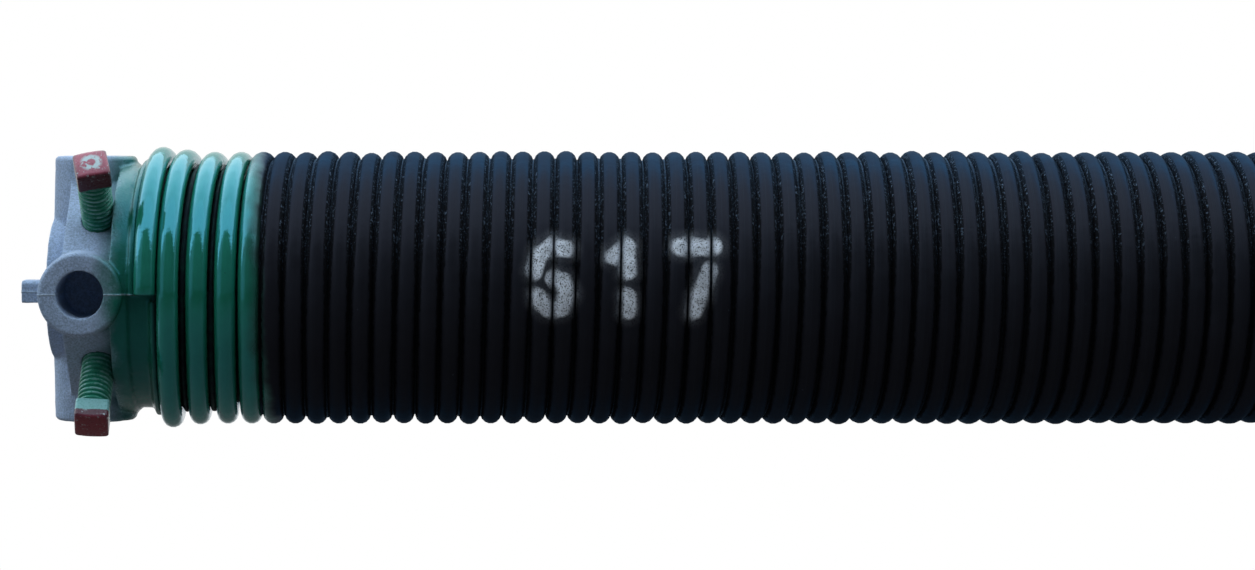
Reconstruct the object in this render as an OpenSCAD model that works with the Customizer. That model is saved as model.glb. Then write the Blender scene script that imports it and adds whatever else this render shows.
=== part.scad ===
// Garage door torsion spring: one length of round wire wound left-handed into a long close coil, gripped at one
// end by a cast winding cone and at the other by a cast stationary cone.
// Units are millimetres. The spring's axis is X and +Z is up. The origin is on that axis, where the axes of the
// four winding sockets cross it. The winding cone is at -X and the stationary cone at +X.

/* [Build] */
// Which node to build, or all of them

/* [Spring wire] */
// Wire diameter, 0.243 in
wire_d = 6.17; // [5:0.01:8]
// Inside diameter of the free coils, 2 5/8 in
inside_d = 66.67; // [60:0.01:76]
// Gap between one free coil and the next
coil_gap = 0.13; // [0.05:0.01:1]
// Length of the coil between the wire's two ends, to the nearest whole turn
coil_length = 508.3; // [150:0.1:800]
// How far the centre line is spread outwards where the wire ends, over the root of a cone
end_swell = 1.6; // [0:0.1:3]
// Gap along X between the collar and the wire's end
wire_end_gap = 1.85; // [0.5:0.01:4]
// How far the upper half turns' wire is thicker all round, which gives each joint a clean edge
joint_step = 0.01; // [0.005:0.005:0.03]
// How many degrees the lower half turns run into the upper ones
joint_lap = 0.15; // [0.05:0.05:0.5]

/* [Cone threads] */
// Space that the cast thread leaves between the coils that are screwed onto it
thread_space = 1.83; // [1.2:0.01:4]
// Advance of the wire's first half turn. The second one brings it to lie against the wire's end
first_advance = 2.6; // [2.2:0.1:3.2]
// How much more than a free half turn the two half turns that run off the thread advance
first_runoff = 0.25; // [0.2:0.01:0.6]
second_runoff = 0.05; // [0:0.01:0.2]
// Half turns at the full thread pitch
thread_half_turns = 4; // [2:2:8]
// Gap between the wire and the core of the thread that it grips
seat_gap = 0.05; // [0.03:0.01:0.2]
// Gap between the wire and a thread's straight flanks, and the angle that each flank leans at
flank_gap = 0.2; // [0.15:0.01:0.4]
flank_angle = 25; // [15:1:28]
// How far a thread's crest stays below the wire's centre line
crest_drop = 0.5; // [0:0.1:1.5]
// How many degrees short of the wire's end the thread outside the first coil stops
thread_stop = 3; // [1:0.5:20]
// Length of plain core past the last thread
core_tail = 4.5; // [2:0.5:10]

/* [Cone cores] */
// Wall of the core at the mouth of its cored hollow, and how much narrower the hollow is at its floor
core_wall = 5.8; // [3:0.1:9]
hollow_draft = 1; // [0:0.1:3]
// Where the hollow's floor is, along X from the winding sockets' axes
hollow_floor_x = 15; // [13:0.5:20]
// How far the collar at the root of the thread stands out past the coils' inside, and where it starts and ends
collar_rise = 2.9; // [1:0.1:5]
collar_start_x = 8.1; // [4:0.1:9]
collar_end_x = 13.2; // [13:0.1:15]
// Chamfer at the collar's edge and at the end of the core
edge_chamfer = 0.8; // [0.2:0.1:2]

/* [Winding cone] */
// Radius of the bore for a 1 in shaft
shaft_bore_r = 13.1; // [12.8:0.05:13.2]
// Radius and depth of the sockets for 1/2 in winding bars
socket_r = 6.65; // [6.4:0.05:7]
socket_depth = 20; // [14:0.5:22]
// Where the bosses end, out from the spring's axis
boss_reach = 38.3; // [36:0.1:42]
// Wall of the bosses at the mouth, and how much wider they are at the spring's axis
boss_wall = 5.25; // [4:0.05:6]
boss_draft = 0.8; // [0:0.1:1.2]
// Chamfer of the bosses' rims
boss_chamfer = 0.8; // [0.3:0.1:2]
// Wall of the sleeve round the shaft, and how far it runs out past the sockets' axes
sleeve_wall = 7.4; // [5:0.1:11]
sleeve_end_x = -12; // [-16:0.5:-8]
// Distance of the webs' flats from the spring's axis, and radius of their corners
web_flat = 29; // [26:0.5:32]
web_corner_r = 34; // [32:0.5:36]
// Where the webs start
web_start_x = -6; // [-9:0.5:-3]
// Stub of the casting's runner: how far it sticks out, its height, its depth and its distance from the bore
stub_length = 9; // [4:0.5:14]
stub_height = 6.3; // [4:0.1:9]
stub_depth = 8; // [4:0.5:12]
stub_inset = 1.9; // [0.5:0.1:4]

/* [Set screws] */
// Thread diameter, 3/8 in
screw_d = 9.5; // [8:0.1:10]
// Gap round a screw in its hole
screw_gap = 0.03; // [0.02:0.01:0.2]
// Width across the flats of the square head, and its height
head_flats = 9.5; // [8:0.1:12]
head_height = 7.1; // [5:0.1:9]
// How much of each corner of the head is turned off, and the height and slope's width of its end's dome
corner_turn = 0.42; // [0.1:0.01:1]
dome_height = 0.8; // [0.3:0.1:1.5]
dome_width = 2.05; // [1:0.05:3]
// Distance of the heads' ends from the spring's axis
head_reach = 52.5; // [46:0.5:60]
// How far the screws' tips stay clear of the shaft bore, and the length and slope's width of their cones
tip_clear = 1.4; // [0.2:0.1:6]
tip_length = 2; // [1:0.5:4]
tip_slope = 1; // [0.5:0.1:2]
// Where the screws are along X, and the angle that they stand at above and below the front
screw_x = 3.2; // [1:0.1:6]
screw_angle = 45; // [40:1:50]
// How far the two heads are turned round their own axes
upper_head_turn = 14; // [-45:1:45]
lower_head_turn = -4; // [-45:1:45]

/* [Stationary cone] */
// Radius of the bore that the shaft passes through
passage_r = 14; // [13.6:0.1:18]
// Thickness of the flange, and radius of its round middle
flange_thickness = 9.5; // [6:0.5:11]
flange_r = 38; // [37:0.5:40]
// Distance between the two bolt holes, and their radius for 3/8 in bolts
bolt_spacing = 92; // [84:0.5:100]
bolt_hole_r = 5.1; // [4.8:0.05:5.5]
// Wall of the ears round the bolt holes
ear_wall = 6.9; // [4:0.1:9]

/* [Hidden] */
$fn = 96;
wire_r = wire_d / 2;
wire_fn = 32;
inside_r = inside_d / 2;
// Radius of the wire's centre line in the free coils
coil_r = inside_r + wire_r;
free_pitch = wire_d + coil_gap;
thread_pitch = wire_d + thread_space;
wire_end_x = collar_end_x + wire_end_gap + wire_r;
thread_advances = [for (i = [1 : thread_half_turns]) thread_pitch / 2];
runoff_advances = [free_pitch / 2 + first_runoff, free_pitch / 2 + second_runoff];
cone_advances = concat([first_advance, free_pitch - first_advance], thread_advances, runoff_advances);
cone_count = len(cone_advances);
function sum(values, count) = count == 0 ? 0 : values[count - 1] + sum(values, count - 1);
// Half turns between the stretches that are on the cones. It is odd, so that the two ends mirror each other
free_half_turns = 2 * floor((coil_length - 2 * sum(cone_advances, cone_count)) / free_pitch) + 1;
half_turns = free_half_turns + 2 * cone_count;
// The advance of half turn k. The far end's are the near end's in reverse
function advance(k) =
    k < cone_count ? cone_advances[k]
    : k >= half_turns - cone_count ? cone_advances[half_turns - 1 - k]
    : free_pitch / 2;
// Where the half turns join, alternately at the front and at the back
joint_xs = [for (k = 0, x = wire_end_x; k <= half_turns; x = x + (k < half_turns ? advance(k) : 0), k = k + 1) x];
wire_far_x = joint_xs[half_turns];
// The swell has gone where the wire is two half turns into the full thread pitch
swell_end_x = joint_xs[4];
function swell(x) = end_swell * max(0, (swell_end_x - x) / (swell_end_x - wire_end_x));
// Radius of the centre line at x, which is the same from either end
function coil_r_at(x) = coil_r + max(swell(x), swell(wire_end_x + wire_far_x - x));
core_end_x = joint_xs[2 + thread_half_turns] + core_tail;
core_drop = wire_r + seat_gap;
// The core's root is offset squarely from the swelling centre line, so that the seat gap is the same all along it
swell_slope = atan(end_swell / (swell_end_x - wire_end_x));
root_r = coil_r_at(wire_end_x) - core_drop / cos(swell_slope);
root_end_x = swell_end_x - core_drop * tan(swell_slope / 2);
hollow_mouth_r = coil_r - core_drop - core_wall;
collar_r = inside_r + collar_rise;
boss_mouth_r = socket_r + boss_wall;
sleeve_r = shaft_bore_r + sleeve_wall;
tip_reach = shaft_bore_r + tip_clear;
// The hub reaches as far as its sleeve or its bosses, whichever stand out more
hub_end_x = min(sleeve_end_x, -boss_mouth_r - boss_draft);
flange_start_x = collar_end_x - flange_thickness - 2 * edge_chamfer;
ear_r = bolt_hole_r + ear_wall;
// How far the flange's straight sides are inside the true tangents, so that they cross the arcs cleanly
tangent_inset = 0.03;
over = 1;

// One half turn from joint to joint: over the top from front to back, or under the bottom from back to front.
// The child is the section, drawn with the wire's centre at the origin and +Y away from the spring's axis.
// The laps are how many degrees it runs on past its joints at the front and at the back
module half_turn(x1, r1, x2, r2, top, front_lap = 0, back_lap = 0) {
    across = r1 + r2;
    tilt = atan((x2 - x1) / across);
    side = top ? 1 : -1;
    translate([(x1 + x2) / 2, side * (r2 - r1) / 2, 0])
        rotate([0, 0, -side * tilt])
        rotate([90, 0, 90])
        rotate_extrude(angle = 180 + front_lap + back_lap, start = top ? -back_lap : 180 - front_lap)
        translate([norm([across, x2 - x1]) / 2, 0])
        rotate(-90)
        children();
}

module spring_coil() {
    color([0.1, 0.1, 0.12])
        union()
        for (k = [0 : half_turns - 1]) {
            top = k % 2 == 0;
            lap = top ? 0 : joint_lap;
            half_turn(joint_xs[k], coil_r_at(joint_xs[k]), joint_xs[k + 1], coil_r_at(joint_xs[k + 1]), top, lap, lap)
                circle(r = wire_r + (top ? joint_step : 0), $fn = wire_fn);
        }
}

// Half a thread's width at a depth below the centre line of wires that are spacing apart. Each flank is a tangent
// of a circle that clears a wire by the flank gap
function thread_half(spacing, depth) =
    spacing / 2 - (wire_r + flank_gap - depth * sin(flank_angle)) / cos(flank_angle);

// A thread's section. Step thickens it as the wire is thickened
module thread_section(spacing, step) {
    foot_depth = core_drop + over;
    crest = thread_half(spacing, crest_drop) + step;
    foot = thread_half(spacing, foot_depth) + step;
    polygon([
        [-foot, -foot_depth],
        [foot, -foot_depth],
        [crest, step - crest_drop],
        [-crest, step - crest_drop]
    ]);
}

// The thread that the end coils lie between, as it stands on the winding cone
module thread() {
    // outside the first coil, from beside the wire's end round to just under it
    for (k = [0, 1]) {
        x1 = joint_xs[k] - thread_pitch / 2;
        x2 = joint_xs[k + 1] - thread_pitch / 2;
        top = k == 0;
        half_turn(x1, coil_r_at(joint_xs[k]), x2, coil_r_at(joint_xs[k + 1]), top,
            top ? 0 : -thread_stop, top ? 0 : joint_lap)
            thread_section(thread_pitch, top ? joint_step : 0);
    }
    // between the coils, at the radius of the one beyond, because the swell makes that one the smaller
    for (k = [1 : thread_half_turns]) {
        beyond1 = joint_xs[k + 2];
        beyond2 = joint_xs[k + 3];
        spacing1 = beyond1 - joint_xs[k];
        spacing2 = beyond2 - joint_xs[k + 1];
        x1 = beyond1 - spacing1 / 2;
        x2 = beyond2 - spacing2 / 2;
        top = k % 2 == 0;
        lap = top ? 0 : joint_lap;
        half_turn(x1, coil_r_at(beyond1), x2, coil_r_at(beyond2), top, lap, lap)
            thread_section(min(spacing1, spacing2), top ? joint_step : 0);
    }
}

// The turned profile of the core, from from_x to its end: root, swell, plain stretch and chamfer
module core(from_x) {
    rotate([0, 90, 0])
        rotate_extrude()
        rotate(90)
        polygon([
            [from_x, 0],
            [from_x, root_r],
            [wire_end_x, root_r],
            [root_end_x, coil_r - core_drop],
            [core_end_x - edge_chamfer, coil_r - core_drop],
            [core_end_x, coil_r - core_drop - edge_chamfer],
            [core_end_x, 0]
        ]);
}

// A disc along X with a chamfer at its far edge
module x_disc(r, from_x, to_x, chamfer = 0) {
    translate([from_x, 0, 0])
        rotate([0, 90, 0])
        union() {
            cylinder(r = r, h = to_x - from_x - chamfer);
            if (chamfer > 0)
                translate([0, 0, to_x - from_x - chamfer])
                    cylinder(r1 = r, r2 = r - chamfer, h = chamfer);
        }
}

module hollow() {
    translate([hollow_floor_x, 0, 0])
        rotate([0, 90, 0])
        cylinder(r1 = hollow_mouth_r - hollow_draft, r2 = hollow_mouth_r, h = core_end_x - hollow_floor_x + over);
}

// Puts its children, drawn along +Z, at each of the four winding sockets
module at_sockets() {
    for (turn = [0 : 90 : 270])
        rotate([turn, 0, 0])
            children();
}

module socket_boss() {
    rotate_extrude()
        polygon([
            [0, 0],
            [boss_mouth_r + boss_draft, 0],
            [boss_mouth_r, boss_reach - boss_chamfer],
            [boss_mouth_r - boss_chamfer, boss_reach],
            [0, boss_reach]
        ]);
}

// The webs between the bosses, with a flat at 45 degrees for each set screw
module webs() {
    translate([web_start_x, 0, 0])
        rotate([0, 90, 0])
        linear_extrude(collar_end_x - web_start_x - over)
        intersection() {
            rotate(45)
                square(2 * web_flat, center = true);
            circle(r = web_corner_r);
        }
}

module runner_stub() {
    translate([sleeve_end_x - stub_length, -shaft_bore_r - stub_inset - stub_depth, 0])
        rotate([90, 0, 90])
        linear_extrude(stub_length + over)
        polygon([
            [0, -stub_height / 2],
            [stub_depth, -stub_height / 2],
            [stub_depth, stub_height / 2],
            [edge_chamfer, stub_height / 2],
            [0, stub_height / 2 - edge_chamfer]
        ]);
}

// Puts its children, drawn along +Z, on a set screw's axis. Side is 1 for the upper screw and -1 for the lower
module at_screw(side) {
    translate([screw_x, 0, 0])
        rotate([90 - side * screw_angle, 0, 0])
        children();
}

module winding_cone() {
    color([0.5, 0.52, 0.56])
        difference() {
            union() {
                core(collar_end_x - over);
                thread();
                x_disc(collar_r, collar_start_x, collar_end_x, edge_chamfer);
                x_disc(sleeve_r, sleeve_end_x, hollow_floor_x);
                webs();
                at_sockets() socket_boss();
                runner_stub();
            }
            hollow();
            x_disc(shaft_bore_r, hub_end_x - over, hollow_floor_x + over);
            at_sockets()
                translate([0, 0, boss_reach - socket_depth])
                cylinder(r = socket_r, h = socket_depth + over);
            for (side = [-1, 1])
                at_screw(side)
                    cylinder(r = screw_d / 2 + screw_gap, h = head_reach);
        }
}

module set_screw(side, head_turn) {
    shank_r = screw_d / 2;
    corner_r = norm([head_flats, head_flats]) / 2 - corner_turn;
    color([0.55, 0.1, 0.14])
        at_screw(side)
        union() {
            translate([0, 0, tip_reach])
                cylinder(r1 = shank_r - tip_slope, r2 = shank_r, h = tip_length);
            translate([0, 0, tip_reach + tip_length])
                cylinder(r = shank_r, h = head_reach - head_height - tip_reach - tip_length + over);
            translate([0, 0, head_reach - head_height])
                intersection() {
                    rotate(head_turn)
                        translate([-head_flats / 2, -head_flats / 2, 0])
                        cube([head_flats, head_flats, head_height]);
                    union() {
                        cylinder(r = corner_r, h = head_height - dome_height);
                        translate([0, 0, head_height - dome_height])
                            cylinder(r1 = corner_r, r2 = corner_r - dome_width, h = dome_height);
                    }
                }
        }
}

module upper_set_screw() set_screw(1, upper_head_turn);
module lower_set_screw() set_screw(-1, lower_head_turn);

// The flange's outline: a round middle with an ear at each bolt hole, and straight sides just inside the tangents
module flange_outline() {
    reach = bolt_spacing / 2;
    lean = asin((flange_r - ear_r) / reach);
    middle = flange_r - tangent_inset;
    ear = ear_r - tangent_inset;
    difference() {
        union() {
            circle(r = flange_r);
            for (side = [-1, 1]) {
                translate([0, side * reach])
                    circle(r = ear_r);
                polygon([
                    [-middle * cos(lean), side * middle * sin(lean)],
                    [middle * cos(lean), side * middle * sin(lean)],
                    [ear * cos(lean), side * (reach + ear * sin(lean))],
                    [-ear * cos(lean), side * (reach + ear * sin(lean))]
                ]);
            }
        }
        for (side = [-1, 1])
            translate([0, side * reach])
                circle(r = bolt_hole_r);
    }
}

// It is drawn as the winding cone is, and turned round the spring's middle
module stationary_cone() {
    color([0.56, 0.58, 0.6])
        translate([wire_end_x + wire_far_x, 0, 0])
        rotate([0, 0, 180])
        difference() {
            union() {
                core(collar_end_x - over);
                thread();
                x_disc(collar_r, flange_start_x + over, collar_end_x, edge_chamfer);
                translate([flange_start_x, 0, 0])
                    rotate([90, 0, 90])
                    linear_extrude(flange_thickness)
                    flange_outline();
            }
            hollow();
            x_disc(passage_r, flange_start_x - over, hollow_floor_x + over);
        }
}

spring_coil();
winding_cone();
upper_set_screw();
lower_set_screw();
stationary_cone();
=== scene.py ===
import math
import bmesh
import bpy
import numpy as np
from mathutils import Matrix, Vector, noise


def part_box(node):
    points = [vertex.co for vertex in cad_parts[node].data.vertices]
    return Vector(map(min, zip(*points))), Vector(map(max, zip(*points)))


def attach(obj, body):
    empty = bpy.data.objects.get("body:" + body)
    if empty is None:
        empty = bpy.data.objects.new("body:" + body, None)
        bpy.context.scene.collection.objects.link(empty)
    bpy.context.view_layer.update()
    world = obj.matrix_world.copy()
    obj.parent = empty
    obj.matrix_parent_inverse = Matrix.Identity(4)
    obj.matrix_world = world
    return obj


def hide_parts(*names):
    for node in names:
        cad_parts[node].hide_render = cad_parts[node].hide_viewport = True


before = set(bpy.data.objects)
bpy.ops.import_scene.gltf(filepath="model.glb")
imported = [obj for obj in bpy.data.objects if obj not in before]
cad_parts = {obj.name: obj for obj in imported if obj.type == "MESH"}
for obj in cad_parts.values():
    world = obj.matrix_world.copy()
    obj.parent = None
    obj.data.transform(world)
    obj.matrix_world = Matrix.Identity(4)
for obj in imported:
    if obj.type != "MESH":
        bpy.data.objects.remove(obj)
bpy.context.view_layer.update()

MM = 0.001

# ---- sizes in mm and degrees, as in the part's source --------------------------------------------
WIRE_R = 3.085
# Radius to the wire's centre in the free coils, and how much more it is where the wire ends
COIL_R = 36.42
END_SWELL = 1.6
# Where the wire ends, and how far each half turn moves on along X: on a cone from the wire's end, and free
WIRE_END_X = 18.135
CONE_ADVANCES = [2.6, 3.7] + [4.0] * 4 + [3.4, 3.2]
FREE_ADVANCE = 3.15
FREE_HALF_TURNS = 143
# Radius of the bosses at the spring's axis
BOSS_ROOT_R = 12.7
# The set screws: thread radius, place along X, angle above or below the front, where the tip and the head
# end, and the head's height and width across its flats
SCREW_R = 4.75
SCREW_X = 3.2
SCREW_ANGLE = 45
TIP_REACH = 14.5
HEAD_REACH = 52.5
HEAD_HEIGHT = 7.1
HEAD_FLATS = 9.5

# ---- colours, as linear red, green and blue ------------------------------------------------------
WHITE = (1.0, 1.0, 1.0)
SHEET_WHITE = (0.9, 0.9, 0.9)
FLOOR_MIRRORED = (0.205, 0.172, 0.155)
SKY_MIRRORED = (0.86, 0.93, 1.0)
LAMP_COOL = (0.80, 0.92, 1.0)

STEEL_DARK = (0.0165, 0.0178, 0.0240)
STEEL_PALE = (0.0270, 0.0292, 0.0400)
STEEL_LINE = (0.030, 0.038, 0.052)
STEEL_SCRATCH = (0.10, 0.13, 0.18)
STEEL_TINT = (0.44, 0.68, 1.0)
PAINT_DEEP = (0.012, 0.175, 0.105)
PAINT_BRIGHT = (0.020, 0.240, 0.150)
PAINT_RUN = (0.008, 0.100, 0.065)
PAINT_CHIP = (0.010, 0.022, 0.022)
PAINT_TINT = (0.16, 0.66, 1.0)
# the grooves' dark: painted shade, and grease
GROOVE_SHADE_GREASE = (0.0100, 0.0104, 0.0125)
# pale grit specks, painted as glints on the upper coils
GRIT_GLINT = (0.110, 0.155, 0.220)
STENCIL_WHITE = (0.84, 0.90, 1.0)
GREASE = (0.0060, 0.0064, 0.0080)
# grit specks on the grease, painted as glints
GREASE_GRIT_GLINT = (0.080, 0.110, 0.160)
GREASE_TINT = (0.30, 0.65, 1.0)

CAST_DULL = (0.36, 0.48, 0.68)
CAST_PALE = (0.50, 0.64, 0.88)
CAST_SAND = (0.16, 0.19, 0.27)
CAST_PIT = (0.05, 0.055, 0.07)
CAST_TINT = (0.50, 0.82, 1.0)
FLASH_METAL = (0.50, 0.62, 0.74)
SPRAY_DEEP = (0.008, 0.105, 0.066)
SPRAY_BRIGHT = (0.014, 0.150, 0.098)
SPRAY_SHADED = (0.014, 0.020, 0.026)

SCREW_GREEN_DEEP = (0.010, 0.170, 0.100)
SCREW_GREEN_PALE = (0.035, 0.32, 0.22)
SCREW_BARE_DULL = (0.20, 0.42, 0.44)
SCREW_BARE_PALE = (0.42, 0.66, 0.70)
SCREW_FLANK = (0.24, 0.50, 0.52)
SCREW_RED_DEEP = (0.12, 0.014, 0.030)
SCREW_RED_PALE = (0.27, 0.060, 0.095)
SCREW_RED_EDGE = (0.070, 0.016, 0.024)
SCREW_SCUFF = (0.50, 0.62, 0.66)
SCREW_TINT = (0.70, 0.90, 1.0)
UPPER_END_RED = (0.42, 0.10, 0.15)
LOWER_END_RED = (0.25, 0.030, 0.045)


# ---- small helpers -------------------------------------------------------------------------------
def clamp(value, low=0.0, high=1.0):
    return min(max(value, low), high)


def fbm(p, octaves=3):
    """Noise at the point p, with finer and weaker octaves added to it."""
    return sum(noise.noise(Vector(p) * 2 ** k) / 2 ** k for k in range(octaves))


def link_new(name, data):
    """A new object of the scene, which shows that mesh, light or camera."""
    o = bpy.data.objects.new(name, data)
    bpy.context.scene.collection.objects.link(o)
    return o


def shade_smooth(me):
    me.polygons.foreach_set("use_smooth", [True] * len(me.polygons))


def add_piece(name, mesh, material):
    o = link_new(name, mesh)
    shade_smooth(mesh)
    mesh.materials.append(material)
    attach(o, "root")
    return o


def mesh_from(name, verts, faces):
    me = bpy.data.meshes.new(name)
    me.from_pydata([tuple(v) for v in verts], [], [tuple(int(i) for i in f) for f in faces])
    me.update()
    return me


def float_attribute(me, name, values):
    a = me.attributes.new(name, "FLOAT", "POINT")
    a.data.foreach_set("value", np.asarray(values, dtype=np.float32))


def apply_modifiers(o):
    deps = bpy.context.evaluated_depsgraph_get()
    me = bpy.data.meshes.new_from_object(o.evaluated_get(deps))
    o.modifiers.clear()
    o.data = me
    return me


class Graph:
    """A short way to write the nodes of a material or of the world."""

    def __init__(self, owner):
        owner.use_nodes = True
        self.tree = owner.node_tree

    def put(self, socket, value):
        if isinstance(value, bpy.types.NodeSocket):
            self.tree.links.new(value, socket)
        elif isinstance(value, tuple) and socket.type == "RGBA":
            socket.default_value = (*value, 1)
        else:
            socket.default_value = value

    def node(self, kind, inputs=None, **settings):
        """A new node with these settings, and with inputs that are given by name or by number."""
        n = self.tree.nodes.new("ShaderNode" + kind)
        for name, value in settings.items():
            setattr(n, name, value)
        for key, value in (inputs or {}).items():
            self.put(n.inputs[key], value)
        return n

    def math(self, operation, *terms, clamped=False):
        n = self.node("Math", dict(enumerate(terms)), operation=operation, use_clamp=clamped)
        return n.outputs[0]

    def plus(self, a, b):
        return self.math("ADD", a, b)

    def minus(self, a, b):
        return self.math("SUBTRACT", a, b)

    def times(self, a, b):
        return self.math("MULTIPLY", a, b)

    def times_plus(self, value, factor, addend):
        return self.math("MULTIPLY_ADD", value, factor, addend)

    def larger(self, a, b):
        return self.math("MAXIMUM", a, b)

    def absolute(self, value):
        return self.math("ABSOLUTE", value)

    def hypot(self, a, b):
        squares = [self.math("POWER", v, 2.0) for v in (a, b)]
        return self.math("SQRT", self.plus(*squares))

    def ramp(self, value, low, high, to_low=0.0, to_high=1.0):
        """A smooth step, which is to_low below low and to_high above high."""
        inputs = {"Value": value, "From Min": low, "From Max": high, "To Min": to_low, "To Max": to_high}
        return self.node("MapRange", inputs, interpolation_type="SMOOTHSTEP").outputs[0]

    def mix(self, factor, a, b):
        """The colour a where factor is 0, and b where it is 1."""
        return self.node("Mix", {0: factor, 6: a, 7: b}, data_type="RGBA").outputs[2]

    def split(self, vector):
        return self.node("SeparateXYZ", {0: vector}).outputs

    def blend(self, factor, first, second):
        """The first shader where factor is 0, and the second where it is 1."""
        return self.node("MixShader", {0: factor, 1: first, 2: second}).outputs[0]

    def seen_or_mirrored(self, mirrored):
        """1 for a camera ray, and mirrored, 0 to 1, for a glossy or transmission ray."""
        path = self.node("LightPath").outputs
        through = self.larger(path["Is Glossy Ray"], path["Is Transmission Ray"])
        return self.larger(path["Is Camera Ray"], self.times(through, mirrored))


class Surface(Graph):
    """The nodes of a piece's material, over the piece's own coordinates in metres."""

    def __init__(self, name):
        self.material = bpy.data.materials.new(name)
        super().__init__(self.material)
        self.shader = self.tree.nodes["Principled BSDF"]
        self.coords = self.node("TexCoord").outputs["Object"]

    def finish(self, **values):
        for name, value in values.items():
            self.put(self.shader.inputs[name.replace("_", " ")], value)
        return self.material

    def attribute(self, name):
        return self.node("Attribute", attribute_name=name).outputs["Fac"]

    def scaled(self, vector, scale):
        return self.node("Mapping", {"Vector": vector, "Scale": scale}).outputs[0]

    def noise(self, size, detail=2.0, rough=0.5, vector=None):
        """Noise whose lumps are about size metres across."""
        place = self.coords if vector is None else vector
        inputs = {"Vector": place, "Scale": 1 / size, "Detail": detail, "Roughness": rough}
        return self.node("TexNoise", inputs).outputs["Fac"]

    def cells(self, size):
        """Distance from the middle of cells that are about size metres across, where 1 is one cell."""
        return self.node("TexVoronoi", {"Vector": self.coords, "Scale": 1 / size}).outputs["Distance"]

    def bump(self, height, strength, depth, normal=None):
        inputs = {"Height": height, "Strength": strength, "Distance": depth}
        if normal is not None:
            inputs["Normal"] = normal
        return self.node("Bump", inputs).outputs[0]

    def vector_math(self, operation, inputs):
        return self.node("VectorMath", inputs, operation=operation).outputs

    def segment(self, point, a, b):
        """Distance from point, a vector in the plane z = 0, to the straight stroke from a to b."""
        along = (b[0] - a[0], b[1] - a[1], 0)
        squared = along[0] ** 2 + along[1] ** 2
        rel = self.vector_math("SUBTRACT", {0: point, 1: (*a, 0)})[0]
        dot = self.vector_math("DOT_PRODUCT", {0: rel, 1: tuple(c / squared for c in along)})["Value"]
        share = self.math("MULTIPLY", dot, 1.0, clamped=True)
        foot = self.vector_math("SCALE", {0: along, "Scale": share})[0]
        return self.vector_math("DISTANCE", {0: rel, 1: foot})["Value"]


# ---- the camera, the floor and the light ---------------------------------------------------------
def add_camera():
    """A level camera, a little above the spring and in front of its winding end."""
    data = bpy.data.cameras.new("camera")
    data.sensor_width = 36
    data.lens = 86.47
    data.shift_x = 0.1132
    data.shift_y = -0.1340
    data.clip_end = 60
    camera = link_new("camera", data)
    camera.location = (0.1133, -0.8786, 0.0497)
    camera.rotation_euler = (math.radians(90), 0, 0)
    bpy.context.scene.camera = camera


def add_floor():
    """A pale floor, lit and shadowed near the object and running out to white. Mirrored, it is mostly dim."""
    side, level, spring_end_x = 12.0, -0.22, 0.54
    corners = [(-side, -side, level), (side, -side, level), (side, side, level), (-side, side, level)]
    me = mesh_from("floor", corners, [(0, 1, 2, 3)])
    floor = link_new("floor", me)
    mat = bpy.data.materials.new("floor_white")
    g = Graph(mat)
    g.tree.nodes.clear()
    dim = g.node("BsdfDiffuse", {"Color": FLOOR_MIRRORED}).outputs[0]
    lit = g.node("BsdfDiffuse", {"Color": SHEET_WHITE}).outputs[0]
    glow = g.node("Emission", {"Color": WHITE, "Strength": 1.0}).outputs[0]
    x, y = g.split(g.node("NewGeometry").outputs["Position"])[:2]
    # distance across the floor from the line under the spring
    past = g.larger(g.larger(g.minus(x, spring_end_x), g.times(x, -1.0)), 0.0)
    away = g.hypot(past, g.absolute(y))
    white = g.blend(g.ramp(away, 0.1, 0.8, 0.78, 1.0), lit, glow)
    mirrored = g.times(g.ramp(away, 0.3, 1.1), g.ramp(y, -0.3, 0.3))
    g.node("OutputMaterial", {0: g.blend(g.seen_or_mirrored(mirrored), dim, white)})
    me.materials.append(mat)


def add_world():
    """White all round for the camera. What shines mirrors that white behind it, and a dim room in front."""
    world = bpy.data.worlds.new("studio")
    bpy.context.scene.world = world
    g = Graph(world)
    g.tree.nodes.clear()
    dim = g.node("Background", {"Color": SKY_MIRRORED, "Strength": 0.085}).outputs[0]
    white = g.node("Background", {"Color": WHITE, "Strength": 1.0}).outputs[0]
    behind = g.split(g.node("TexCoord").outputs["Generated"])[1]
    mirrored = g.ramp(behind, -0.35, 0.35)
    g.node("OutputWorld", {0: g.blend(g.seen_or_mirrored(mirrored), dim, white)})


def add_panel(name, place, target, width, depth, power):
    data = bpy.data.lights.new(name, "AREA")
    data.shape = "RECTANGLE"
    data.size = width
    data.size_y = depth
    data.energy = power
    data.color = LAMP_COOL
    lamp = link_new(name, data)
    lamp.location = place
    lamp.rotation_euler = (Vector(target) - Vector(place)).to_track_quat("-Z", "Y").to_euler()


def add_lamps():
    """A long canopy of three soft panels from above the front to the back, and a weak one at the left."""
    middle, radius, length, depth = Vector((-1.0, 0.0, 0.0)), 0.92, 5.6, 0.52
    for name, lean, power in (("panel_front", 66, 17.0), ("panel_top", 98, 12.5), ("panel_back", 130, 16.0)):
        a = math.radians(lean)
        place = (middle.x, -radius * math.cos(a), radius * math.sin(a))
        add_panel(name, place, middle, length, depth, power)
    add_panel("panel_left", (-1.0, -0.55, 0.42), (0.0, 0.0, 0.0), 1.2, 1.2, 1.3)


# ---- the wire's materials ------------------------------------------------------------------------
def stencil_strokes():
    """The strokes of a 6, a 1 and a 7, in mm from the number's middle, less the stencil's bridges."""
    lines = [
        [(-16.6, 8.0), (-20.4, 9.0), (-24.2, 6.4), (-25.4, 1.8)],
        [(-24.6, -5.0), (-21.8, -8.8), (-18.0, -8.4), (-16.0, -4.4), (-17.6, -0.6), (-20.2, 0.0)],
        [(-3.4, 5.8), (0.4, 8.8), (0.6, 1.8)],
        [(0.6, -5.0), (0.6, -9.2)],
        [(15.2, 8.6), (24.6, 8.6)],
        [(23.2, 1.8), (19.0, -9.2)],
    ]
    return [stroke for line in lines for stroke in zip(line, line[1:])]


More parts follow.
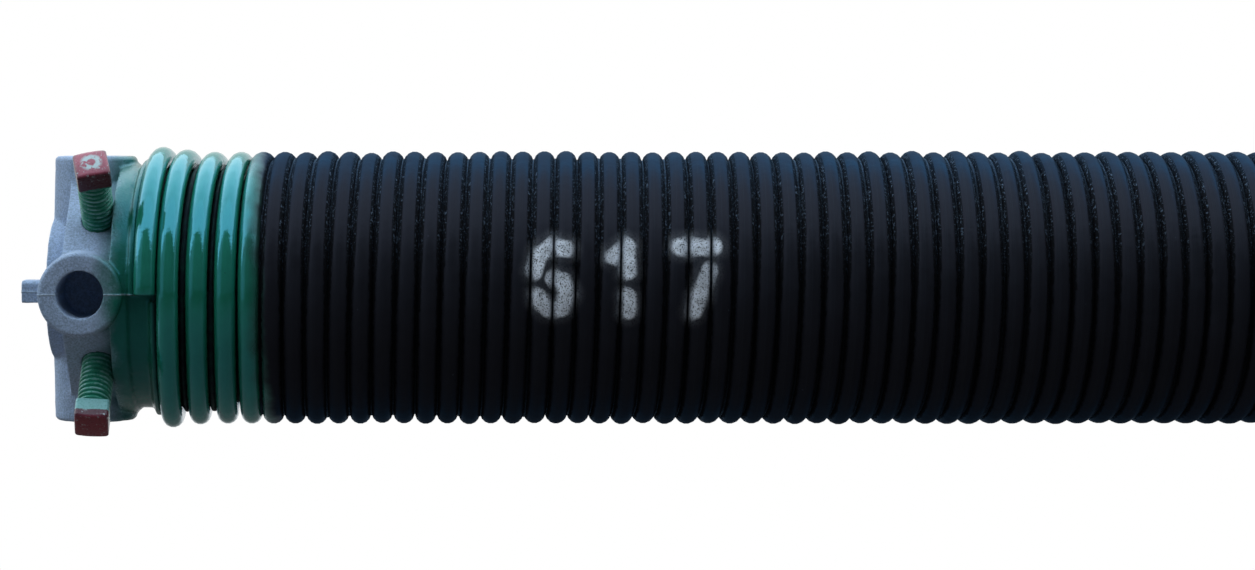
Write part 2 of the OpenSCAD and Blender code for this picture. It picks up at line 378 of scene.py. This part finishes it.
def stencil_mask(g, x, y, z):
    """Digits sprayed through a stencil on the coils' front, sharp on crests and blurred in grooves."""
    middle_x, middle_z, half_stroke = 152.4, 4.8, 2.25
    mm_x = g.times_plus(x, 1000.0, -middle_x)
    mm_z = g.times_plus(z, 1000.0, -middle_z)
    point = g.node("CombineXYZ", {0: mm_x, 1: mm_z}).outputs[0]
    nearest = None
    for a, b in stencil_strokes():
        d = g.segment(point, a, b)
        nearest = d if nearest is None else g.math("MINIMUM", nearest, d)
    nearest = g.plus(nearest, g.times_plus(g.noise(0.004), 1.2, -0.6))
    # how far the surface is below the coils' crests, in mm
    depth = g.larger(g.minus(COIL_R + WIRE_R, g.hypot(g.times(y, 1000.0), g.times(z, 1000.0))), 0.0)
    blur = g.plus(depth, 0.55)
    inside = g.ramp(nearest, g.minus(half_stroke, blur), g.plus(half_stroke, blur), 1.0, 0.0)
    sharp = g.times(inside, g.ramp(depth, 0.3, 3.0, 1.0, 0.25))
    haze = g.times(g.ramp(nearest, 2.0, 5.4, 1.0, 0.0), g.ramp(depth, 0.0, 2.2, 0.06, 0.20))
    front = g.ramp(y, -0.004, 0.004, 1.0, 0.0)
    return g.times(g.larger(sharp, haze), front)


def black_steel(g, patches, lines):
    """Oil-tempered steel with drawing lines along the wire, lumps of old oil and small scratches."""
    color = g.mix(patches, STEEL_DARK, STEEL_PALE)
    color = g.mix(g.ramp(lines, 0.54, 0.75, 0.0, 0.5), color, STEEL_LINE)
    speck = g.ramp(g.cells(0.0034), 0.0, 0.085, 1.0, 0.0)
    sparse = g.ramp(g.noise(0.016, 2.0), 0.60, 0.70)
    return g.mix(g.times(speck, g.times(sparse, 0.8)), color, STEEL_SCRATCH)


def green_paint(g, thin, uv):
    """Paint of uneven thickness, with runs along the wire and small chips."""
    color = g.mix(thin, PAINT_DEEP, PAINT_BRIGHT)
    runs = g.ramp(g.noise(1.0, 2.0, 0.5, g.scaled(uv, (26.0, 0.10, 1.0))), 0.60, 0.78, 0.0, 0.35)
    color = g.mix(runs, color, PAINT_RUN)
    chip = g.times(g.ramp(g.noise(0.0016, 3.0, 0.7), 0.69, 0.72), g.ramp(g.noise(0.012, 2.0), 0.50, 0.62))
    return g.mix(chip, color, PAINT_CHIP)


def painted_mask(g, x, z):
    """1 on the green coils at the winding end. The paint's slanted and uneven edge is on the fifth coil."""
    edge = g.times_plus(z, -0.05, 0.0486)
    edge = g.plus(edge, g.times_plus(g.noise(0.009, 3.0), 0.006, -0.003))
    return g.ramp(g.minus(x, edge), -0.0032, 0.0036, 1.0, 0.0)


def groove_shade_and_grease(g, z):
    """Painted shade in the grooves, where there is grease too, with an uneven edge that reaches further out
    on the coils' tops.
    """
    groove = g.attribute("groove")
    ragged = g.plus(groove, g.times_plus(g.noise(0.0022, 3.0, 0.6), 0.9, -0.45))
    ragged = g.plus(ragged, g.ramp(z, -0.01, 0.03, 0.0, 0.58))
    return g.times(g.ramp(ragged, 0.34, 0.60), g.ramp(groove, 0.0, 0.2))


def spring_material():
    """Black wire with green paint on its first coils, painted shade and grease in its grooves and a sprayed
    number.
    """
    g = Surface("spring_wire_paint")
    x, y, z = g.split(g.coords)
    uv = g.node("UVMap").outputs[0]
    lines = g.noise(1.0, 3.0, 0.6, g.scaled(uv, (60.0, 0.05, 1.0)))
    patches = g.noise(0.011, 4.0, 0.6)
    thin = g.noise(0.006, 4.0, 0.62)
    grain = g.noise(0.0007, 3.0, 0.65)
    green = painted_mask(g, x, z)
    color = g.mix(green, black_steel(g, patches, lines), green_paint(g, thin, uv))
    # painted shade in the grooves between the coils, where there is grease as well
    shade_and_grease = groove_shade_and_grease(g, z)
    color = g.mix(g.times(shade_and_grease, 0.94), color, GROOVE_SHADE_GREASE)
    # painted glints: pale specks of grit in the grooves, shown on the coils' upper half alone
    grit = g.times(g.ramp(grain, 0.56, 0.63), g.times(shade_and_grease, g.ramp(z, 0.004, 0.022)))
    color = g.mix(g.times(grit, 0.8), color, GRIT_GLINT)
    # the digits are beaded by the oil under them
    beads = g.ramp(g.noise(0.00042, 2.0, 0.6), 0.37, 0.47, 0.12, 1.0)
    thick = g.ramp(g.noise(0.0032, 3.0), 0.36, 0.55, 0.75, 1.0)
    digits = g.times(stencil_mask(g, x, y, z), g.times(beads, thick))
    color = g.mix(g.times(digits, 0.96), color, STENCIL_WHITE)
    # wet-looking on the green, duller on the black, and matt on the painted shade and grease in the grooves
    # and on the digits
    rough = g.plus(g.ramp(patches, 0.3, 0.7, 0.34, 0.50), g.times(lines, 0.06))
    rough = g.mix(green, rough, g.ramp(thin, 0.3, 0.7, 0.07, 0.14))
    rough = g.mix(shade_and_grease, rough, (0.62, 0.62, 0.62))
    rough = g.mix(digits, rough, (0.75, 0.75, 0.75))
    bare = g.times(g.minus(1.0, green), g.minus(1.0, g.ramp(digits, 0.05, 0.4)))
    normal = g.bump(g.times_plus(lines, 0.25, g.noise(0.0035, 3.0, 0.55)), 0.30, 0.0004)
    normal = g.bump(g.times(grain, shade_and_grease), 0.7, 0.0003, normal)
    shine = g.times(green, g.ramp(shade_and_grease, 0.0, 0.6, 0.48, 0.03))
    return g.finish(Base_Color=color, Metallic=g.times(bare, 0.42), Roughness=rough, Normal=normal, IOR=2.5,
                    Specular_IOR_Level=shine, Specular_Tint=g.mix(green, STEEL_TINT, PAINT_TINT))


def grease_material():
    """Dark grease with specks of grit, which are painted as glints, strong on the coils' tops and faint
    below.
    """
    g = Surface("gap_grease")
    z = g.split(g.coords)[2]
    grain = g.noise(0.0006, 3.0, 0.7)
    # painted glints: grit specks, full on top and faint below
    lit = g.times(g.ramp(grain, 0.55, 0.63), g.ramp(z, 0.0, 0.02, 0.15, 1.0))
    return g.finish(Base_Color=g.mix(lit, GREASE, GREASE_GRIT_GLINT), Metallic=0.6,
                    Roughness=g.ramp(grain, 0.4, 0.6, 0.35, 0.7), Normal=g.bump(grain, 0.6, 0.0003),
                    Specular_IOR_Level=0.1, Specular_Tint=GREASE_TINT)


# ---- the castings' material ----------------------------------------------------------------------
def overspray(g, x, sand):
    """How much green overspray covers the casting, and how deep in among the coils it is, which is dark."""
    reach = g.plus(x, g.times_plus(g.noise(0.010, 4.0, 0.65), 0.009, -0.0045))
    mist = g.ramp(g.minus(sand, g.ramp(reach, -0.003, 0.010, 0.28, -0.35)), 0.42, 0.66)
    cover = g.times(g.ramp(reach, 0.0020, 0.0115), g.larger(mist, g.ramp(reach, 0.006, 0.0125)))
    return cover, g.ramp(x, 0.0195, 0.0212)


def parting_line(g, x, y, z):
    """1 on the raised line where the mould's halves met, which shows on the outside of the hub alone."""
    wavy = g.plus(z, g.times_plus(g.noise(0.006), 0.0004, -0.0002))
    line = g.ramp(g.absolute(wavy), 0.00010, 0.00034, 1.0, 0.0)
    line = g.times(line, g.ramp(g.absolute(y), 0.020, 0.024))
    return g.times(line, g.ramp(x, 0.018, 0.022, 1.0, 0.0))


def cast_material(name, painted):
    """Rough sand-cast alloy. Where painted, it has green overspray near the painted coils."""
    g = Surface(name)
    x, y, z = g.split(g.coords)
    sand = g.noise(0.0006, 3.0, 0.7)
    lumps = g.noise(0.0045, 4.0, 0.6)
    color = g.mix(lumps, CAST_DULL, CAST_PALE)
    color = g.mix(g.ramp(sand, 0.35, 0.65, 0.55, 0.0), color, CAST_SAND)
    pits = g.ramp(g.cells(0.0016), 0.05, 0.16, 0.6, 0.0)
    color = g.mix(g.times(pits, g.ramp(lumps, 0.5, 0.62)), color, CAST_PIT)
    rough = g.ramp(sand, 0.3, 0.7, 0.50, 0.68)
    bare_shine = 0.30
    shine, tint = bare_shine, CAST_TINT
    if painted:
        cover, deep = overspray(g, x, sand)
        green = g.mix(g.noise(0.004, 3.0), SPRAY_DEEP, SPRAY_BRIGHT)
        shade = g.times(deep, g.ramp(g.noise(0.003, 3.0), 0.3, 0.6, 0.8, 1.0))
        color = g.mix(cover, color, g.mix(shade, green, SPRAY_SHADED))
        wet = g.times(cover, g.minus(0.9, g.times(deep, 0.85)))
        rough = g.mix(wet, rough, (0.15, 0.15, 0.15))
        tint = g.mix(cover, tint, PAINT_TINT)
        shine = g.times(g.ramp(cover, 0.3, 1.0, bare_shine, 1.0), g.minus(1.0, g.times(deep, 0.9)))
    line = parting_line(g, x, y, z)
    rubbed = g.times(line, g.ramp(g.noise(0.0012, 3.0), 0.35, 0.6, 0.15, 0.7))
    color = g.mix(rubbed, color, FLASH_METAL)
    height = g.times_plus(line, 1.3, g.times_plus(lumps, 0.6, sand))
    return g.finish(Base_Color=color, Roughness=rough, Normal=g.bump(height, 0.50, 0.00028),
                    Specular_IOR_Level=shine, Specular_Tint=tint)


# ---- the screws' material ------------------------------------------------------------------------
def worn_ring(g, off):
    """A pale ring that a wrench has worn in the paint of a head's end, round a middle that kept it."""
    ring = g.times(g.ramp(off, 1.0, 1.5), g.ramp(off, 2.3, 3.5, 1.0, 0.0))
    return g.times(ring, g.ramp(g.noise(0.0016, 3.0, 0.7), 0.40, 0.50))


def red_paint(g, reach, patch, end, end_red):
    """Red paint, darker along the head's edge and with its own red on the head's end."""
    red = g.mix(patch, SCREW_RED_DEEP, SCREW_RED_PALE)
    red = g.mix(g.ramp(reach, HEAD_REACH - 1.2, HEAD_REACH - 0.6, 0.75, 0.0), red, SCREW_RED_EDGE)
    return g.mix(g.times(end, g.ramp(patch, 0.3, 0.7, 0.6, 1.0)), red, end_red)


def screw_material(name, red_from, end_red, worn_flanks):
    """Green paint, and red from red_from mm out. Either the head's flats are worn, or its end is."""
    g = Surface(name)
    reach = g.attribute("reach")
    crest = g.attribute("crest")
    patch = g.noise(0.0028, 4.0, 0.65)
    fine = g.noise(0.0007, 3.0, 0.7)
    worn = g.times(g.ramp(crest, 0.60, 1.0), g.ramp(patch, 0.40, 0.62))
    bare = g.mix(fine, SCREW_BARE_DULL, SCREW_BARE_PALE)
    color = g.mix(g.times(worn, 0.55), g.mix(patch, SCREW_GREEN_DEEP, SCREW_GREEN_PALE), bare)
    if worn_flanks:
        flank = g.times(g.ramp(reach, 45.2, 45.6), g.ramp(fine, 0.2, 0.62, 0.5, 0.95))
        color = g.mix(flank, color, SCREW_FLANK)
    wavy = g.times_plus(patch, 1.4, red_from - 0.7)
    red = g.ramp(g.minus(reach, wavy), -0.12, 0.12)
    end = g.ramp(reach, HEAD_REACH - 0.75, HEAD_REACH - 0.35)
    color = g.mix(red, color, red_paint(g, reach, patch, end, end_red))
    scuff = g.ramp(g.noise(0.0012, 4.0, 0.75), 0.60, 0.64)
    marks = g.times(g.times(scuff, g.ramp(reach, 48.0, 51.5, 0.25, 0.8)), red)
    if not worn_flanks:
        marks = g.larger(g.times(end, worn_ring(g, g.attribute("off"))), marks)
    color = g.mix(marks, color, SCREW_SCUFF)
    return g.finish(Base_Color=color, Roughness=g.ramp(fine, 0.3, 0.7, 0.24, 0.42),
                    Normal=g.bump(fine, 0.25, 0.00015), Specular_IOR_Level=0.5, Specular_Tint=SCREW_TINT)


# ---- the spring ----------------------------------------------------------------------------------
ADVANCES = CONE_ADVANCES + [FREE_ADVANCE] * FREE_HALF_TURNS + CONE_ADVANCES[::-1]
HALF_TURNS = len(ADVANCES)
# Where the half turns join, alternately at the front and at the back
JOINT_XS = [WIRE_END_X]
for advance in ADVANCES:
    JOINT_XS.append(JOINT_XS[-1] + advance)
WIRE_FAR_X = JOINT_XS[-1]
# The swell has gone where the wire is two half turns into the full thread pitch
SWELL_END_X = JOINT_XS[4]


def swell(x):
    return END_SWELL * max(0.0, (SWELL_END_X - x) / (SWELL_END_X - WIRE_END_X))


def coil_radius(x):
    """Radius of the centre line at x, which is the same from either end."""
    return COIL_R + max(swell(x), swell(WIRE_END_X + WIRE_FAR_X - x))


def from_ends(t):
    """Half turns from t to the nearer end of the wire."""
    return min(t, HALF_TURNS - t)


def wire_point(t):
    """Centre of the wire, t half turns from its end: as the solid on the cones, and a true helix between."""
    free_from, free_over, swing_size, sway_size = 9, 6, 0.42, 0.022
    k = min(int(t), HALF_TURNS - 1)
    f = t - k
    x1, x2 = JOINT_XS[k], JOINT_XS[k + 1]
    r1, r2 = coil_radius(x1), coil_radius(x2)
    side = 1 if k % 2 == 0 else -1
    half_y = side * (r1 + r2) / 2
    half_x = (x2 - x1) / 2
    size = math.hypot(half_x, half_y)
    c, s = math.cos(math.pi * f), math.sin(math.pi * f)
    # 0 on the cones and 1 on the free coils, with an even change between
    free = clamp((from_ends(t) - free_from) / free_over)
    ringed = (x1 + x2) / 2 - c * half_x
    x = ringed + free * (x1 + (x2 - x1) * f - ringed)
    y = side * (r2 - r1) / 2 - c * half_y
    z = side * s * size
    # free coils are a little uneven, by up to some tenths of a mm outwards and hundredths along X
    swing = free * swing_size * fbm((t * 0.83, 3.1, 7.7), 2)
    sway = free * sway_size * noise.noise(Vector((t * 1.3, 9.2, 0.4)))
    scale = 1 + swing / size
    return np.array([x + sway, y * scale, z * scale])


def wire_frames(ts):
    """At each of ts, the wire's centre and its directions along the wire, outwards and across."""
    centre = np.array([wire_point(t) for t in ts])
    tangent = np.gradient(centre, axis=0)
    tangent /= np.linalg.norm(tangent, axis=1)[:, None]
    outward = centre * np.array([0, 1, 1])
    outward -= (outward * tangent).sum(1)[:, None] * tangent
    outward /= np.linalg.norm(outward, axis=1)[:, None]
    return centre, tangent, outward, np.cross(tangent, outward)


def add_wire_uv(me, around, ring_step):
    """A map whose u goes once round the wire and whose v is the distance along it in metres."""
    corner = np.zeros(len(me.loops), dtype=np.int32)
    me.loops.foreach_get("vertex_index", corner)
    u = corner % around / around
    v = corner // around * ring_step * MM
    # on a face between a ring's last spot and its first one, u goes on to 1 instead of back to 0
    for face in me.polygons:
        part = u[face.loop_start:face.loop_start + face.loop_total]
        if len(part) == 4 and part.max() - part.min() > 0.5:
            part[part < 0.5] += 1
    layer = me.uv_layers.new(name="wire")
    layer.data.foreach_set("uv", np.stack([u, v], -1).ravel().astype(np.float32))


def spring_piece():
    """The whole wire as one swept tube. Its groove attribute is 1 deep between two free coils."""
    per_half, around, edge = 34, 16, 0.35
    crest_depth, slope_depth, fade_half_turns = 0.20, 0.45, 2
    count = HALF_TURNS * per_half
    ts = np.linspace(0, HALF_TURNS, count + 1)
    centre, tangent, outward, across = wire_frames(ts)
    phi = np.linspace(0, 2 * math.pi, around, endpoint=False) + math.pi / around
    # both ends are cut square, with the edge a little rounded: each ring's inset, and how far along it is
    ends = [(edge, 0.0), (0.1, 0.1), (0.0, edge)]
    rings = [(centre[0] + tangent[0] * along, 0, WIRE_R - inset) for inset, along in ends]
    rings += [(centre[i], i, WIRE_R) for i in range(1, count)]
    rings += [(centre[count] - tangent[count] * along, count, WIRE_R - inset) for inset, along in ends[::-1]]
    verts, groove = [], []
    in_groove = np.clip((1 - np.cos(phi) - crest_depth) / slope_depth, 0, 1)
    for middle, i, r in rings:
        verts.append(middle + r * (np.cos(phi)[:, None] * outward[i] + np.sin(phi)[:, None] * across[i]))
        close = clamp((from_ends(ts[i]) - len(CONE_ADVANCES)) / fade_half_turns)
        groove += list(close * in_groove)
    idx = np.arange(len(rings) * around).reshape(len(rings), around)
    a, b = idx[:-1], idx[1:]
    quads = np.stack([a, np.roll(a, -1, 1), np.roll(b, -1, 1), b], -1).reshape(-1, 4)
    faces = [tuple(q[::-1]) for q in quads] + [tuple(idx[0]), tuple(idx[-1][::-1])]
    me = mesh_from("spring_wire", np.concatenate(verts) * MM, faces)
    float_attribute(me, "groove", groove)
    add_wire_uv(me, around, math.pi * COIL_R / per_half)
    o = add_piece("spring_wire", me, spring_material())
    for cap in me.polygons[-2:]:
        cap.use_smooth = False
    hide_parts("spring_coil")


def grease_piece():
    """Grease and grit squeezed into the gaps between the free coils, uneven along them."""
    per_half, first, last = 44, 7.6, HALF_TURNS - 9.5
    mean_fill, fill_swing = 0.70, 0.75
    # the grease's section: along X, and how far out it is from what the gap is filled to
    profile = [(-0.85, -0.55), (-0.42, 0.05), (0.0, 0.16), (0.42, 0.05), (0.85, -0.55)]
    verts, faces = [], []
    ts = np.arange(first, last, 1 / per_half)
    for t in ts:
        middle = (wire_point(t) + wire_point(t + 2)) / 2
        out = middle * np.array([0, 1, 1])
        out /= np.linalg.norm(out)
        fill = mean_fill + fill_swing * fbm((t * 0.9, 0.3, 5.0))
        for i, (dx, rise) in enumerate(profile):
            coarse = 0.26 * noise.noise(Vector((t * 11.0, i * 1.7, 2.0)))
            fine = 0.14 * noise.noise(Vector((t * 27.0, i * 3.1, 6.0)))
            grit = coarse + fine
            verts.append((middle + out * (fill + rise + grit) + np.array([dx, 0, 0])) * MM)
    n = len(profile)
    for j in range(len(ts) - 1):
        for i in range(n - 1):
            p = j * n + i
            faces.append((p, p + 1, p + n + 1, p + n))
    me = mesh_from("gap_grease", verts, faces)
    add_piece("gap_grease", me, grease_material())


# ---- the castings --------------------------------------------------------------------------------
def parting_flash(co):
    """How far in mm the line where the mould's halves met stands out, along z = 0 on the hub's outside."""
    height, width, socket_rim_r, inside_r, coils_from_x = 0.24, 0.32, 7.4, 22, 17
    x, y, z = (co * 1000).T
    outside = (np.hypot(y, z) > inside_r) & (x < coils_from_x) & ~(np.hypot(x, z) < socket_rim_r)
    uneven = np.array([0.75 + 0.5 * noise.noise(Vector(p) * 600) for p in co])
    return np.where(outside, height * np.exp(-(z / width) ** 2) * uneven, 0.0)


def shorten_stub(co):
    """The stub of the runner stands out less than the solid's, by a share of what is past the bosses."""
    share = 0.30
    past = np.minimum(co[:, 0] + BOSS_ROOT_R * MM, 0)
    co[:, 0] -= share * past


def cast_copy(name, node, material, voxel, triangles, is_hub=False):
    """The node's solid with a sand casting's rounded edges and uneven skin, kept inside its own box."""
    skin_depth, skin_scale, sunk = 0.07, 260, 0.6
    o = link_new(name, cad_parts[node].data.copy())
    remesh = o.modifiers.new("skin", "REMESH")
    remesh.mode = "VOXEL"
    remesh.voxel_size = voxel * MM
    soft = o.modifiers.new("soft", "SMOOTH")
    soft.factor = 0.5
    soft.iterations = 2
    me = apply_modifiers(o)
    co = np.zeros(len(me.vertices) * 3)
    normals = np.zeros(len(me.vertices) * 3)
    me.vertices.foreach_get("co", co)
    me.vertex_normals.foreach_get("vector", normals)
    co, normals = co.reshape(-1, 3), normals.reshape(-1, 3)
    push = np.array([skin_depth * (fbm(Vector(p) * skin_scale) - sunk) for p in co])
    if is_hub:
        push += parting_flash(co)
    co += normals * push[:, None] * MM
    if is_hub:
        shorten_stub(co)
    low, high = (np.array(c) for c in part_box(node))
    me.vertices.foreach_set("co", np.clip(co, low, high).ravel())
    me.update()
    made = len(me.polygons) * 2
    if made > triangles:
        thin = o.modifiers.new("thin", "DECIMATE")
        thin.ratio = triangles / made
        me = apply_modifiers(o)
    shade_smooth(me)
    me.materials.clear()
    me.materials.append(material)
    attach(o, "root")
    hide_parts(node)


# ---- the set screws ------------------------------------------------------------------------------
def screw_thread(top):
    """Vertices, faces and nearness to a crest of a thread of 16 to the inch, from the tip into the head."""
    pitch, depth, around, rows_per_pitch = 25.4 / 16, 0.82, 48, 9
    tip_slope, tip_length, sunk = 1.0, 2.0, 0.3
    verts, faces, crest = [], [], []
    zs = np.arange(TIP_REACH, top + sunk, pitch / rows_per_pitch)
    for z in zs:
        for i in range(around):
            a = 2 * math.pi * i / around
            f = (z / pitch + a / (2 * math.pi)) % 1
            # 1 on the crest and 0 in the root, with straight flanks between
            tooth = clamp(1.5 - abs(f - 0.5) * 3.4)
            tip_r = SCREW_R - tip_slope + (z - TIP_REACH) * (tip_slope / tip_length)
            r = min(SCREW_R - depth * (1 - tooth), tip_r)
            verts.append((r * math.cos(a), r * math.sin(a), z))
            crest.append(tooth)
    idx = np.arange(len(zs) * around).reshape(len(zs), around)
    for low, high in zip(idx, idx[1:]):
        for i in range(around):
            j = (i + 1) % around
            faces.append((low[i], low[j], high[j], high[i]))
    faces.append(tuple(idx[0][::-1]))
    faces.append(tuple(idx[-1]))
    return verts, faces, crest


def square_head(top, side, head_turn):
    """The head with worn edges and a domed and battered end, turned round the screw's own axis."""
    edge, dome, corner_r, cuts = 0.75, 0.75, 6.3, 15
    bm = bmesh.new()
    bmesh.ops.create_cube(bm, size=1)
    bmesh.ops.scale(bm, verts=bm.verts[:], vec=(HEAD_FLATS, HEAD_FLATS, HEAD_HEIGHT))
    bmesh.ops.subdivide_edges(bm, edges=bm.edges[:], cuts=cuts, use_grid_fill=True)
    turn = Matrix.Rotation(math.radians(head_turn), 3, "Z")
    half = Vector((HEAD_FLATS / 2, HEAD_FLATS / 2, HEAD_HEIGHT / 2))
    for v in bm.verts:
        core = Vector([clamp(c, edge - h, h - edge) for c, h in zip(v.co, half)])
        away = v.co - core
        if away.length > 1e-6:
            v.co = core + away.normalized() * min(edge, max(abs(c) for c in away))
        p = v.co.copy()
        out = math.hypot(p.x, p.y)
        if p.z > 0:
            p.z -= dome * (p.z / half.z) * (out / corner_r) ** 2.2
        battered = 1 - 0.012 * abs(noise.noise(v.co * 0.5 + Vector((side * 9.0, 0, 0))))
        p.x *= battered
        p.y *= battered
        v.co = turn @ p + Vector((0, 0, top + half.z))
    bm.verts.index_update()
    verts = [tuple(v.co) for v in bm.verts]
    faces = [tuple(v.index for v in f.verts) for f in bm.faces]
    bm.free()
    return verts, faces


def screw_piece(name, node, side, head_turn, material):
    """A set screw, above the front where side is 1, or below it. Its attributes place its paint."""
    top = HEAD_REACH - HEAD_HEIGHT
    verts, faces, crest = screw_thread(top)
    head_verts, head_faces = square_head(top, side, head_turn)
    start = len(verts)
    me = mesh_from(name, verts + head_verts, faces + [tuple(start + i for i in f) for f in head_faces])
    float_attribute(me, "crest", crest + [0.0] * len(head_verts))
    float_attribute(me, "reach", [v.co.z for v in me.vertices])
    float_attribute(me, "off", [math.hypot(v.co.x, v.co.y) for v in me.vertices])
    lean = Matrix.Rotation(math.radians(90 - side * SCREW_ANGLE), 4, "X")
    me.transform(Matrix.Scale(MM, 4) @ (Matrix.Translation((SCREW_X, 0, 0)) @ lean))
    o = add_piece(name, me, material)
    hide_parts(node)


# ---- everything together -------------------------------------------------------------------------
bpy.context.scene.view_settings.view_transform = "Standard"
add_camera()
add_floor()
add_world()
add_lamps()
spring_piece()
grease_piece()
cast_copy("winding_cone_cast", "winding_cone", cast_material("cast_overspray", painted=True),
          voxel=0.45, triangles=195000, is_hub=True)
cast_copy("stationary_cone_cast", "stationary_cone", cast_material("cast_bare", painted=False),
          voxel=0.62, triangles=150000)
screw_piece("upper_screw_painted", "upper_set_screw", 1, 14,
            screw_material("upper_screw_paint", 46.2, UPPER_END_RED, worn_flanks=False))
screw_piece("lower_screw_painted", "lower_set_screw", -1, -4,
            screw_material("lower_screw_paint", 49.6, LOWER_END_RED, worn_flanks=True))
